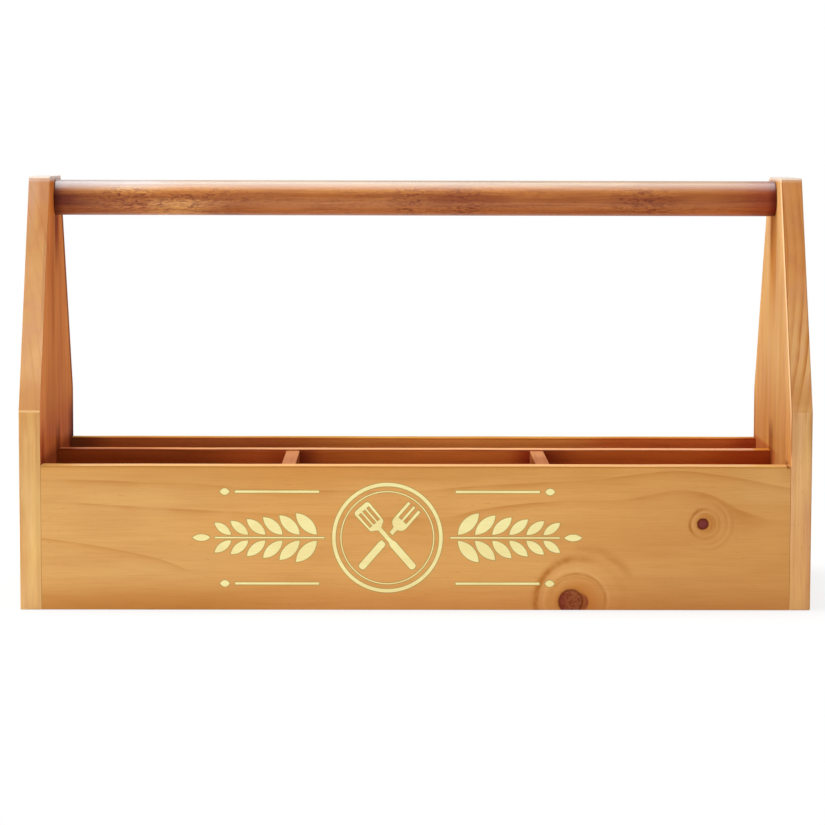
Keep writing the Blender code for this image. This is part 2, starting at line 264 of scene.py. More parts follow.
class WoodFinish(Finish):
    def __init__(self, name, look):
        super().__init__(name)
        self.look = {**usualWood, **look}
        self.tone = {**stain, **self.look["stain"]}
        place = self.node("ShaderNodeTexCoord", output="Object")
        parts = [part / mm for part in self.split(place)]
        self.x, self.y, self.z = parts
        self.along = parts[axisNumber[look["along"]]]
        self.across = parts[axisNumber[look["across"]]]
        self.depth = parts[axisNumber[look["depth"]]]
        normal = self.node("ShaderNodeNewGeometry", output="Normal")
        self.facing = self.split(normal)
        self.rightwards, self.backwards, self.upwards = self.facing
        if "gable" in look:
            # how far in from the sloping front and back edges
            shoulder, slope, half = look["gable"]
            lean = self.maths("MAXIMUM", self.z - shoulder, 0.0) * slope
            self.inFront = self.y - lean + half
            self.inBack = half - self.y - lean

    def grain(self, name, across=None):
        alongSize, usualAcross, detail, shift, *rest = grains[name]
        acrossSize = across or usualAcross
        seed = self.look["seed"] + shift
        spot = self.node("ShaderNodeCombineXYZ", {}, {
            0: self.along / alongSize + seed,
            1: self.across / acrossSize + seed * 1.7,
            2: self.depth / acrossSize - seed,
        })
        return self.noise(spot, detail, *rest)

    def growthLine(self, points):
        # how high one growth line runs, drawn through a few places on the board
        left, length, foot, height = growthFrame.values()
        places = [((x - left) / length, (z - foot) / height) for x, z in points]
        curve = self.node("ShaderNodeFloatCurve", {"points": places}, {"Value": (self.along - left) / length})
        return curve * height + foot

    def turns(self):
        # how many growth rings in
        look = self.look
        sway = (self.grain("sway") - 0.5) * look["sway"]
        ripple = (self.grain("ripple") - 0.5) * look["ripple"]
        if "growthLines" in look:
            low, middle, high = (self.growthLine(points) for points in look["growthLines"])
            height = self.across + sway + ripple + (self.depth + 85) * 0.5
            below = (height - low) / (middle - low) * 2
            above = (height - middle) / (high - middle) + 2
            return below + (above - below) * self.maths("GREATER_THAN", height, middle)
        sideways = self.across - look["pithAcross"]
        inwards = self.depth - look["pithDepth"]
        radius = self.maths("SQRT", sideways ** 2 + inwards ** 2) + sway + ripple
        for knot in look["knots"]:
            knot = {**usualKnot, **knot}
            spread = knot["spread"] * knot["radius"]
            near = ((self.along - knot["along"]) / (2.0 * spread)) ** 2
            near = near + ((self.across - knot["across"]) / spread) ** 2
            radius = radius - self.maths("EXPONENT", near * -1.0) * knot["push"]
        return radius / look["ringWidth"] + look["ringPhase"]

    def lateWood(self):
        # a soft rise to the late wood of each ring, then a sharp step back
        turns = self.turns()
        phase = self.maths("FRACT", turns)
        number = self.maths("FLOOR", turns)
        if "lineStrengths" in self.look:
            strengths = self.look["lineStrengths"]
            stops = [(i / len(strengths), value) for i, value in enumerate(strengths)]
            shifted = (number + (len(strengths) / 2 + 0.5)) / len(strengths)
            strength = self.ramp(shifted, stops, "CONSTANT")
        else:
            strength = self.node("ShaderNodeTexWhiteNoise", {"noise_dimensions": "1D"}, {"W": number + 0.37})
            strength = strength * 0.6 + 0.4
        patchy = self.rise(self.grain("patchy"), 0.36, 0.60) * 0.7 + 0.3
        late = self.ramp(phase, self.look["lateRamp"], "EASE") * strength * patchy
        for amount, *limits in self.look["quiet"]:
            late = late * (1 - self.inside(limits) * amount)
        return late

    def endGrain(self):
        # 1 where a cut crosses the fibres squarely
        return self.maths("ABSOLUTE", self.facing[axisNumber[self.look["along"]]])

    def arris(self):
        # 1 on rounded edges, 0 on faces that lie along an axis
        largest = 0.0
        for part in self.facing:
            largest = self.maths("MAXIMUM", self.maths("ABSOLUTE", part), largest)
        return self.rise(1 - largest, 0.12, 0.28)

    def colour(self):
        look, tone = self.look, self.tone
        blotch = self.rise(self.grain("blotch"), 0.38, 0.66)
        warm = self.rise(self.grain("warm"), 0.35, 0.65)
        self.fibre = self.grain("fibre")
        streak = self.rise(self.grain("streak", look["streakSize"]), 0.46, 0.72)
        fleck = self.rise(self.grain("fleck"), 0.71, 0.79)
        # fibres and streaks fade where a cut runs askew to them
        square = 1 - self.rise(self.endGrain(), 0.2, 0.38) * 0.8
        self.late = self.lateWood()
        shade = self.mix(self.late * look["ringContrast"], tone["early"], tone["late"])
        shade = self.mix(blotch * look["blotch"], shade, tone["late"])
        shade = self.mix(warm * 0.5, shade, tone["warm"], blend="MULTIPLY")
        shade = self.mix(streak * square * look["streak"], shade, tone["late"])
        hairs = self.rise(self.fibre, 0.42, 0.70) * square
        shade = self.mix(hairs * look["fibre"], shade, tone["late"])
        shade = self.mix(fleck * square * look["flecks"], shade, tone["deep"])
        if "stripes" in look:
            # soft stripes where the stain took pinker
            stripe = self.rise(self.grain("stripe"), 0.40, 0.62)
            shade = self.mix(stripe, shade, look["stripes"], blend="MULTIPLY")
        if "figure" in look:
            # curls of darker figure, thickest at a few places
            curl = self.rise(self.grain("curl"), 0.42, 0.66)
            cloud = self.rise(self.grain("curlCloud"), 0.40, 0.60) * 0.5
            for place, reach in look["curls"]:
                cloud = cloud + self.swell((self.along - place) / reach)
            # the curls fade out on the upper side, a painted highlight
            shown = cloud * (1 - self.rise(self.upwards, 0.3, 0.75) * 0.8)
            shade = self.mix(curl * shown * look["figure"], shade, tone["curl"])
        for knot in look["knots"]:
            shade = self.paintKnot(shade, {**usualKnot, **knot})
        shade = self.mix(self.endGrain() * look["endGrain"], shade, tone["late"])
        # rounded edges paler, partly wear and partly a painted highlight
        shade = self.mix(self.arris() * look["edgeWearAndHighlight"], shade, tone["wornAndLit"])
        # tints by zone: some are the wood's own colour, many are painted shade and painted highlights
        for tint, *limits in look["tintsAndPaintedLight"]:
            shade = self.mix(self.inside(limits), shade, tint, blend="MULTIPLY")
        # painted highlights, laid over the wood's colour
        for highlightTone, *limits in look["wornAndLit"]:
            shade = self.mix(self.inside(limits), shade, highlightTone)
        return shade

    def inside(self, limits):
        # 1 past the second number of every limit, from 0 at the first
        amount = 1.0
        for axis, start, end in limits:
            amount = self.rise(getattr(self, axis), start, end) * amount
        return amount

    def paintKnot(self, shade, knot):
        # orange wood round the knot, growth lines that crowd round it, and the dark core
        tone, radius = self.tone, knot["radius"]
        wobble = (self.grain("knotWobble") - 0.5) * knot["wobble"]
        sideways = self.along - knot["along"]
        higher = self.across - knot["across"]
        reach = self.maths("SQRT", sideways ** 2 + higher ** 2)
        leaning = reach - sideways * knot["lean"] + wobble
        rightHand = self.rise(sideways / (reach + 0.5), -1, 1) * 0.6 + 0.4
        fill = (1 - self.rise(leaning, radius, knot.get("fillTo", radius * 2))) * rightHand
        shade = self.mix(fill * knot["fill"], shade, tone["knotFill"])
        broken = self.rise(self.grain("knotBreaks"), 0.34, 0.62) * 0.45 + 0.55
        for place, width, amount, wayAlong, wayUp, *narrow in knot["rings"]:
            # each line is strongest on one side of the knot
            toward = (sideways * wayAlong + higher * wayUp) / (reach + 0.5)
            side = self.rise(toward, 0.75, 1.0) if narrow else self.rise(toward, -0.2, 0.8) * 0.88 + 0.12
            strength = side * broken * abs(amount)
            ring = tone["knotRing"] if amount > 0 else tone["knotPale"]
            shade = self.mix(self.swell((leaning - place) / width) * strength, shade, ring)
        fray = self.grain("knotFray") - 0.5
        if "lobe" in knot:
            lobeAlong, lobeUp, size = knot["lobe"]
            far = self.maths("SQRT", (self.along - lobeAlong) ** 2 + (self.across - lobeUp) ** 2) + fray * 0.9
            shade = self.mix((1 - self.rise(far, size * 0.82, size * 1.1)) * 0.9, shade, tone["knotLobe"])
        core = reach + wobble * knot["uneven"] + fray * 0.7
        leftHand = self.rise(sideways, radius * 0.1, radius * -0.9)
        inner = self.mix(leftHand, knot.get("core", tone["knotCore"]), tone["knotLobe"])
        mottle = self.rise(self.grain("knotMottle"), 0.46, 0.64)
        inner = self.mix(mottle * knot["mottle"], inner, tone["knotRim"])
        rim = self.rise(core, radius * knot["rimFrom"], radius * (knot["rimFrom"] + 0.18))
        inner = self.mix(rim * 0.8, inner, tone["knotRim"])
        shade = self.mix((1 - self.rise(core, radius * 0.95, radius * 1.4)) * 0.55, shade, tone["knotRing"])
        return self.mix(1 - self.rise(core, radius * 0.90, radius * 1.10), shade, inner)

    def build(self):
        look, inputs = self.look, self.shader.inputs
        self.feed(inputs["Base Color"], self.colour())
        self.feed(inputs["Roughness"], self.late * 0.05 + self.fibre * 0.16 + (look["roughness"] - 0.08))
        relief = self.fibre * 0.6 + self.late * 0.7 + self.grain("relief") * 1.2
        self.feed(inputs["Normal"], self.bump(relief, look["relief"], 0.6))
        # the lacquer lies thicker on faces that look up or outwards, and thins out along some pieces
        lacquer = self.rise(self.upwards, *look["topFrom"]) * look["topCoat"] + look["coat"]
        if "underCoat" in look:
            lacquer = lacquer + self.rise(self.upwards, -0.6, -0.95) * look["underCoat"]
        if "outside" in look:
            axis, way = look["outside"]
            outwards = self.rise(self.facing[axisNumber[axis]] * way, 0.5, 0.95)
            lacquer = lacquer + outwards * look["outerCoat"]
        if "thinning" in look:
            start, end, share = look["thinning"]
            lacquer = lacquer * (1 - self.rise(self.along, start, end) * share)
        self.feed(inputs["Coat Weight"], lacquer)
        inputs["Specular IOR Level"].default_value = 0.0  # all the gloss is the lacquer's
        inputs["Coat Roughness"].default_value = look["coatRoughness"]
        inputs["Coat IOR"].default_value = look["coatIor"]
        return self.material


# Hand tools: each piece starts as a primitive and is shaped in edit mode

def nothingSelected():
    if bpy.context.object and bpy.context.object.mode != "OBJECT":
        bpy.ops.object.mode_set(mode="OBJECT")
    bpy.ops.object.select_all(action="DESELECT")


def choose(piece):
    nothingSelected()
    piece.select_set(True)
    bpy.context.view_layer.objects.active = piece


def settle(piece):
    # its place goes into its mesh, and the object stays at the origin
    choose(piece)
    bpy.ops.object.transform_apply(location=True, rotation=True, scale=True)


def block(name, lowest, highest):
    nothingSelected()
    centre = [(a + b) / 2 for a, b in zip(lowest, highest)]
    bpy.ops.mesh.primitive_cube_add(size=1, location=centre)
    piece = bpy.context.object
    piece.name = name
    piece.scale = [b - a for a, b in zip(lowest, highest)]
    settle(piece)
    return piece


def pick(piece, kind, wanted):
    # edit mode, with only the vertices, edges or faces that are wanted
    choose(piece)
    bpy.ops.object.mode_set(mode="EDIT")
    bpy.ops.mesh.select_mode(type={"vertices": "VERT", "edges": "EDGE", "polygons": "FACE"}[kind])
    bpy.ops.mesh.select_all(action="DESELECT")
    bpy.ops.object.mode_set(mode="OBJECT")
    for item in getattr(piece.data, kind):
        item.select = bool(wanted(item))
    bpy.ops.object.mode_set(mode="EDIT")


def pickAll(piece):
    pick(piece, "polygons", lambda face: True)


def done():
    bpy.ops.object.mode_set(mode="OBJECT")


def pull(x, y, z):
    # extrudes what is picked
    bpy.ops.mesh.extrude_region_move(TRANSFORM_OT_translate={"value": (x, y, z)})


def corners(node):
    # the lowest and highest corner of a CAD part
    return [Vector(corner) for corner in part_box(node)]


def ends(piece, edge):
    return [piece.data.vertices[i].co for i in edge.vertices]


def runsAlong(piece, edge, axis):
    first, second = ends(piece, edge)
    gap = [abs(a - b) for a, b in zip(first, second)]
    return gap[axis] > 0.9 * sum(gap)


def modify(piece, kind, **settings):
    choose(piece)
    made = piece.modifiers.new(kind.lower(), kind)
    for key, value in settings.items():
        setattr(made, key, value)
    bpy.ops.object.modifier_apply(modifier=made.name)


def softEdges(piece, width, segments=5):
    modify(piece, "BEVEL", width=width, segments=segments, limit_method="ANGLE", angle_limit=math.radians(35))


def smooth(piece):
    choose(piece)
    bpy.ops.object.shade_smooth_by_angle(angle=math.radians(22))
    modify(piece, "WEIGHTED_NORMAL", keep_sharp=True, weight=100)


def carve(piece, tool):
    modify(piece, "BOOLEAN", operation="DIFFERENCE", solver="EXACT", object=tool)
    bpy.data.objects.remove(tool)


def dress(piece, material, nodes):
    piece.data.materials.clear()
    piece.data.materials.append(material)
    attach(piece, "root")
    if nodes:
        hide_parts(*nodes)


def join(pieces, name):
    choose(pieces[0])
    for piece in pieces:
        piece.select_set(True)
    bpy.ops.object.join()
    pieces[0].name = name
    return pieces[0]


def copyOf(piece, name):
    made = piece.copy()
    made.data = piece.data.copy()
    made.name = name
    bpy.context.scene.collection.objects.link(made)
    return made


# Screws and nails, each kind modelled once at the origin with its head's flat at height 0

fastener = {
    "sides": 40,
    "dome": 0.25 * mm,
    "recessWidth": 0.56,
    "recessArm": 0.15,
    "recessDepth": 0.30,
    "recessFlare": 1.6,
    "recessFoot": 0.35,
    "recessClear": 1.2 * mm,
    "holeSlack": 0.25 * mm,
    "nailSides": 24,
    "turn": 0.77,  # from one fastener to the next, in radians
}


def turned(name, profile, sides):
    # a disc drawn out along its profile of (radius, height), as on a lathe
    radius, height = profile[0]
    nothingSelected()
    place = (0, 0, height)
    bpy.ops.mesh.primitive_circle_add(vertices=sides, radius=radius, fill_type="NGON", location=place)
    piece = bpy.context.object
    piece.name = name
    settle(piece)
    pickAll(piece)
    bpy.ops.mesh.duplicate_move()
    bpy.ops.mesh.flip_normals()
    for nextRadius, nextHeight in profile[1:]:
        pull(0, 0, nextHeight - height)
        share = nextRadius / radius
        bpy.ops.transform.resize(value=(share, share, 1), center_override=(0, 0, nextHeight))
        radius, height = nextRadius, nextHeight
    bpy.ops.mesh.select_all(action="SELECT")
    bpy.ops.mesh.remove_doubles(threshold=1e-6)
    bpy.ops.mesh.normals_make_consistent(inside=False)
    done()
    return piece


def crossRecess(head):
    # two tapering arms
    look = fastener
    depth = head * look["recessDepth"]
    reach = head / 2 * look["recessWidth"] * look["recessFlare"]
    arm = head / 2 * look["recessArm"] * look["recessFlare"]
    foot = look["recessFoot"]
    arms = []
    for turn in range(2):
        bar = block("recessBar", (-reach, -arm, -depth), (reach, arm, look["recessClear"]))
        pick(bar, "vertices", lambda vertex: vertex.co.z < 0)
        bpy.ops.transform.resize(value=(foot, foot, 1), center_override=(0, 0, -depth))
        done()
        bar.rotation_euler = (0, 0, turn * math.pi / 2)
        settle(bar)
        arms.append(bar)
    return arms


def screwModel(name, shank, head, length):
    look = fastener
    cone = (head - shank) / 2
    profile = [
        (head / 2 * 0.80, 0.0),
        (head / 2 - look["dome"] * 0.4, -look["dome"] * 0.3),
        (head / 2, -look["dome"]),
        (shank / 2, -cone - look["dome"]),
        (shank / 2, -length + shank),
        (shank / 8, -length),
    ]
    piece = turned(name, profile, look["sides"])
    for bar in crossRecess(head):
        carve(piece, bar)
    smooth(piece)
    return piece


def nailModel(name, shank, head, length):
    profile = [
        (head / 2 * 0.85, 0.0),
        (head / 2, -0.15 * mm),
        (head / 2, -0.5 * mm),
        (shank / 2, -0.7 * mm),
        (shank / 2, -length + 2 * shank),
        (shank / 8, -length),
    ]
    piece = turned(name, profile, fastener["nailSides"])
    smooth(piece)
    return piece


def holeModel(name, shank, head, length):
    slack = fastener["holeSlack"]
    profile = [
        (head / 2 + slack, 3 * mm),
        (head / 2 + slack, -0.3 * mm),
        (shank / 2 + slack, -(head - shank) / 2 - 0.4 * mm),
        (shank / 2 + slack, -length - slack),
    ]
    return turned(name, profile, fastener["sides"])


def headPlace(node):
    # the middle of a fastener's head, and the way that it is driven
    lowest, highest = corners(node)
    middle = (lowest + highest) / 2
    if "floor_screw" in node:
        return Vector((middle.x, middle.y, lowest.z)), Vector((0, 0, 1))
    if "nail" in node:
        return Vector((middle.x, highest.y, middle.z)), Vector((0, -1, 0))
    side = 1 if middle.x > 0 else -1
    return Vector((highest.x if side > 0 else lowest.x, middle.y, middle.z)), Vector((-side, 0, 0))


def placeAt(piece, node, turn=0.0):
    spot, drive = headPlace(node)
    aim = drive.to_track_quat("-Z", "Y").to_matrix() @ Matrix.Rotation(turn, 3, "Z")
    piece.rotation_euler = aim.to_euler()
    piece.location = spot
    settle(piece)


fastenerKinds = {
    "panelScrew": {"shank": 3.5 * mm, "head": 7 * mm, "length": 32 * mm, "model": screwModel},
    "handleScrew": {"shank": 4.5 * mm, "head": 9 * mm, "length": 40 * mm, "model": screwModel},
    "floorScrew": {"shank": 3 * mm, "head": 6 * mm, "length": 16 * mm, "model": screwModel},
    "nail": {"shank": 1.4 * mm, "head": 2.8 * mm, "length": 30 * mm, "model": nailModel},
}


def kindOf(node):
    if "nail" in node:
        return "nail"
    if "floor_screw" in node:
        return "floorScrew"
    return "handleScrew" if node.startswith("handle_screw") else "panelScrew"


def fastenerNodes():
    return sorted(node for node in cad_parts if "screw" in node or "nail" in node)


def holesFor(name, nodes):
    # one cutter for all the holes in a piece
    made = []
    for node in nodes:
        kind = fastenerKinds[kindOf(node)]
        hole = holeModel("hole", kind["shank"], kind["head"], kind["length"])
        placeAt(hole, node)
        made.append(hole)
    return join(made, name)


# End panels

panel = {
    "shoulder": 112 * mm,
    "topWidth": 55 * mm,
    "cornerEase": 2.2 * mm,
    "cornerSteps": 6,
    "edge": {"left": 0.22 * mm, "right": 0.8 * mm},
}


def panelModel(node, name):
    look = panel
    lowest, highest = corners(node)
    piece = block(name, lowest, highest)
    halfDepth, halfTop = highest.y, look["topWidth"] / 2
    rise, run = highest.z - look["shoulder"], halfDepth - halfTop
    for side in (-1, 1):
        pickAll(piece)
        bpy.ops.mesh.bisect(
            plane_co=(0, side * halfDepth, look["shoulder"]),
            plane_no=(0, side * rise, run),
            clear_outer=True,
            use_fill=True,
        )
        done()

    def topCorner(edge):
        return runsAlong(piece, edge, 0) and min(co.z for co in ends(piece, edge)) > highest.z - mm

    pick(piece, "edges", topCorner)
    bpy.ops.mesh.bevel(offset=look["cornerEase"], segments=look["cornerSteps"], affect="EDGES")
    done()
    end = "left" if lowest.x < 0 else "right"
    softEdges(piece, look["edge"][end])
    nodes = [n for n in fastenerNodes() if f"screw_{end}" in n and "floor" not in n]
    carve(piece, holesFor(name + "Holes", nodes))
    smooth(piece)
    return piece


# limits that several looks share: the way a surface faces, or the side of a piece that it is on
facesRight = ("rightwards", 0.5, 0.9)
facesLeft = ("rightwards", -0.5, -0.9)
facesFront = ("backwards", -0.5, -0.8)
turnsFront = ("backwards", -0.4, -0.8)
upright = ("backwards", -0.8, -0.95)  # the front below the shoulder
onSlope = ("upwards", 0.2, 0.35)
onTop = ("upwards", 0.5, 0.9)
onSides = ("upwards", 0.5, 0.2)
innerHalf = ("y", 81, 76)
frontHalf = ("y", 4, -4)

# a tint, or a paler colour, and the limits within which it lies
panelWood = {
    "left": {
        "along": "z", "across": "y", "depth": "x", "seed": 11.3,
        "pithAcross": -95, "pithDepth": -285, "ringWidth": 4.4, "ringPhase": 0.35,
        "sway": 5, "ripple": 1.2, "ringContrast": 0.38, "streakSize": 11, "streak": 0.36, "endGrain": 0.62,
        "topCoat": 0.5, "coatIor": 1.8, "outside": ("x", -1), "stripes": (0.98, 0.93, 1.03),
        "gable": (112, 0.4406, 85),
        "stain": {"early": (0.79, 0.515, 0.200)},
        # the slope and its dark foot; painted shade on the inner face and in streaks under the handle and by
        # the divider, at the rear arris and by the boards
        "tintsAndPaintedLight": [
            ((1.115, 0.685, 0.50), facesRight),
            ((0.93, 0.87, 1.04), ("rightwards", 0.5, 0.2), onSlope),
            ((0.90, 0.82, 0.70), onSlope, ("z", 134, 120)),
            ((0.90, 0.84, 0.72), ("z", 150, 215)),
            ((0.54, 0.32, 0.38), facesRight, ("y", -9, 2), ("y", 21, 9), ("z", 178, 214)),
            ((0.88, 0.76, 0.70), facesRight, ("y", -30, -20), ("y", -6, -14), ("z", 130, 160)),
            ((0.42, 0.33, 0.32), facesRight, ("inBack", 11, 4)),
            ((0.36, 0.26, 0.32), facesRight, ("inBack", 36, 6), ("z", 114, 92)),
            ((0.86, 0.82, 0.80), ("x", -214, -212.2), facesFront, ("z", 114, 112)),
            ((0.95, 0.78, 0.88), facesRight, ("z", 118, 92)),
            ((0.98, 1.00, 1.24), facesFront, ("z", 222, 232)),
            ((0.98, 1.00, 1.20), facesFront, ("x", -217, -219.5), ("z", 198, 215)),
            ((0.88, 0.76, 0.72), facesFront, ("x", -217.5, -214.5), ("z", 206, 218)),
            ((0.88, 0.80, 0.85), facesFront, ("x", -212.8, -211.8), ("z", 150, 170), ("z", 214, 208)),
            ((0.95, 0.90, 0.83), upright, ("z", 64, 84), ("z", 113, 111)),
            ((1.05, 1.09, 1.22), upright, ("z", 32, 10)),
            ((1.07, 1.08, 1.08), upright, ("z", 45, 28), ("x", -215, -213.5)),
            ((0.94, 0.93, 0.90), upright, ("x", -213.6, -215.2), ("z", 44, 54), ("z", 98, 90)),
            ((0.60, 0.44, 0.42), facesRight, ("inFront", 28, 12), ("z", 108, 88)),
            ((0.50, 0.42, 0.40), facesRight, ("y", -14, -3), ("y", 18, 8), ("z", 102, 86)),
            ((0.50, 0.40, 0.42), facesRight, ("z", 89, 80)),
            ((0.50, 0.40, 0.36), ("rightwards", 0.15, 0.4), ("backwards", 0.25, 0.6)),
            ((0.70, 0.56, 0.48), ("rightwards", 0.3, 0.7), ("backwards", -0.3, -0.6), ("z", 82, 86)),
            ((0.74, 0.62, 0.60), ("rightwards", 0.3, 0.7), ("backwards", -0.3, -0.6), ("z", 82, 86),
             ("z", 114, 104)),
        ],
        # painted highlights: the pale top, and a line along the shoulder
        "wornAndLit": [
            ((0.88, 0.77, 0.72), ("z", 238.6, 242.0), ("upwards", 0.6, 0.2)),
            ((0.54, 0.45, 0.37), ("z", 240.6, 242.0), ("upwards", 0.2, 0.6)),
            ((0.76, 0.46, 0.20), ("z", 111.0, 111.7), ("z", 112.8, 112.2), facesFront),
        ],
    },
    "right": {
        "along": "z", "across": "y", "depth": "x", "seed": 27.9,
        "pithAcross": -44, "pithDepth": 149, "ringWidth": 4.4, "ringPhase": 0.55,
        "sway": 1.5, "ripple": 0.9, "ringContrast": 1.3, "streakSize": 12, "streak": 0.28, "endGrain": 0.55,
        "topCoat": 0.5, "coatIor": 1.8, "outside": ("x", 1), "stripes": (0.96, 0.92, 1.05),
        "lateRamp": broadLate, "gable": (112, 0.4406, 85),
        "stain": {"early": (0.775, 0.452, 0.183)},
        "quiet": [(0.6, ("z", 150, 190)), (0.75, ("z", 112, 104), turnsFront), (0.75, facesLeft)],
        # the slope and its dark foot; painted shade on the inner face and in streaks under the handle and by
        # the divider, and by the boards
        "tintsAndPaintedLight": [
            ((0.945, 0.965, 1.00), ("rightwards", -0.5, -0.2), onSlope),
            ((0.82, 0.73, 0.64), onSlope, ("z", 138, 120)),
            ((0.85, 0.67, 0.52), ("z", 130, 205), turnsFront),
            ((0.90, 0.87, 0.83), ("x", 218.5, 221.5), facesFront, ("z", 112, 106)),
            ((1.01, 1.05, 1.00), facesLeft),
            ((0.92, 0.74, 0.56), facesLeft, ("z", 145, 85)),
            ((0.87, 0.62, 0.36), facesLeft, ("y", -16, -5), ("y", 23, 13), ("z", 140, 200)),
            ((0.62, 0.46, 0.40), facesLeft, ("y", 2, 9), ("y", 21, 14), ("z", 182, 214)),
            ((0.56, 0.42, 0.38), facesLeft, ("y", -12, -1), ("y", 16, 8), ("z", 104, 90)),
            ((0.72, 0.60, 0.54), facesLeft, ("inBack", 14, 4), ("z", 118, 98)),
            ((0.84, 0.58, 0.57), facesLeft, ("y", -32, -8), ("z", 84.5, 82)),
            ((0.70, 0.54, 0.46), facesLeft, ("y", -80, -74), ("y", -57, -66), ("z", 84.5, 81.5)),
            ((0.93, 0.96, 0.95), facesFront, ("z", 78, 95), ("z", 113, 111)),
            ((0.88, 0.82, 0.78), ("x", 219.3, 220.8), facesFront, ("z", 88, 102), ("z", 113, 111)),
            ((1.06, 1.13, 1.16), onSlope, ("z", 117, 114)),
            ((0.94, 0.92, 0.93), turnsFront, ("z", 203, 210), ("z", 232, 226)),
            ((0.62, 0.52, 0.46), ("rightwards", -0.1, -0.3), ("rightwards", -0.995, -0.95),
             ("backwards", 0.05, -0.15), ("z", 84, 92)),
        ],
        # painted highlights: the pale top, and a bright line along the inner arris
        "wornAndLit": [
            ((0.83, 0.71, 0.61), ("z", 239.2, 242.2), ("upwards", 0.6, 0.2)),
            ((0.54, 0.45, 0.37), ("z", 240.6, 242.0), ("upwards", 0.2, 0.6)),
            ((1.00, 0.69, 0.38), ("rightwards", -0.93, -0.99), ("inFront", 6.5, 3.0), ("z", 92, 128)),
        ],
    },
}

for end in ("left", "right"):
    node = "end_panel_" + end
    piece = panelModel(node, end + "EndPanel")
    dress(piece, WoodFinish(end + "PanelPine", panelWood[end]).build(), [node])
print("end panels done")


# Boards and dividers

board = {
    "edge": 0.45 * mm,
    "closer": 0.27 * mm,  # how much nearer the end panels than the solids are
    "stations": 36,
    "planing": 0.12 * mm,  # how far a hand-planed rim strays
}


def plane(piece, axis, top, seed):
    # the rim wavers a little along its length
    places = sorted({round(v.co[axis], 6) for v in piece.data.vertices if v.co.z > top - mm})
    for place in places[1:-1]:
        pick(piece, "vertices", lambda v: v.co.z > top - mm and abs(v.co[axis] - place) < 1e-5)
        stray = math.sin(place * 61 + seed) * 0.6 + math.sin(place * 143 + seed * 2.3) * 0.4
        bpy.ops.transform.translate(value=(0, 0, -board["planing"] * (1 + stray) / 2))
        done()


def boardModel(node, name, axis, seed, grooveSide=0, holes=(), front=0.0):
    look = board
    lowest, highest = corners(node)
    lowest[axis] -= look["closer"]
    highest[axis] += look["closer"]
    lowest.y += front
    piece = block(name, lowest, highest)
    pick(piece, "edges", lambda edge: runsAlong(piece, edge, axis))
    bpy.ops.mesh.bevel(offset=look["edge"], segments=5, affect="EDGES")
    done()
    pick(piece, "edges", lambda edge: runsAlong(piece, edge, axis))
    bpy.ops.mesh.subdivide(number_cuts=look["stations"])
    done()
    plane(piece, axis, highest.z, seed)
    if grooveSide:
        carve(piece, grooveTool(lowest, highest, grooveSide))
    if holes:
        carve(piece, holesFor(name + "Holes", holes))
    return piece


def grooveTool(lowest, highest, side):
    floorLow, floorHigh = corners("floor_board")
    gap = 0.25 * mm
    inner = highest.y if side > 0 else lowest.y
    bottom = floorHigh.y + gap if side < 0 else floorLow.y - gap
    low = Vector((lowest.x - mm, min(inner + side * mm, bottom), floorLow.z - gap))
    high = Vector((highest.x + mm, max(inner + side * mm, bottom), floorHigh.z + gap))
    return block("groove", low, high)


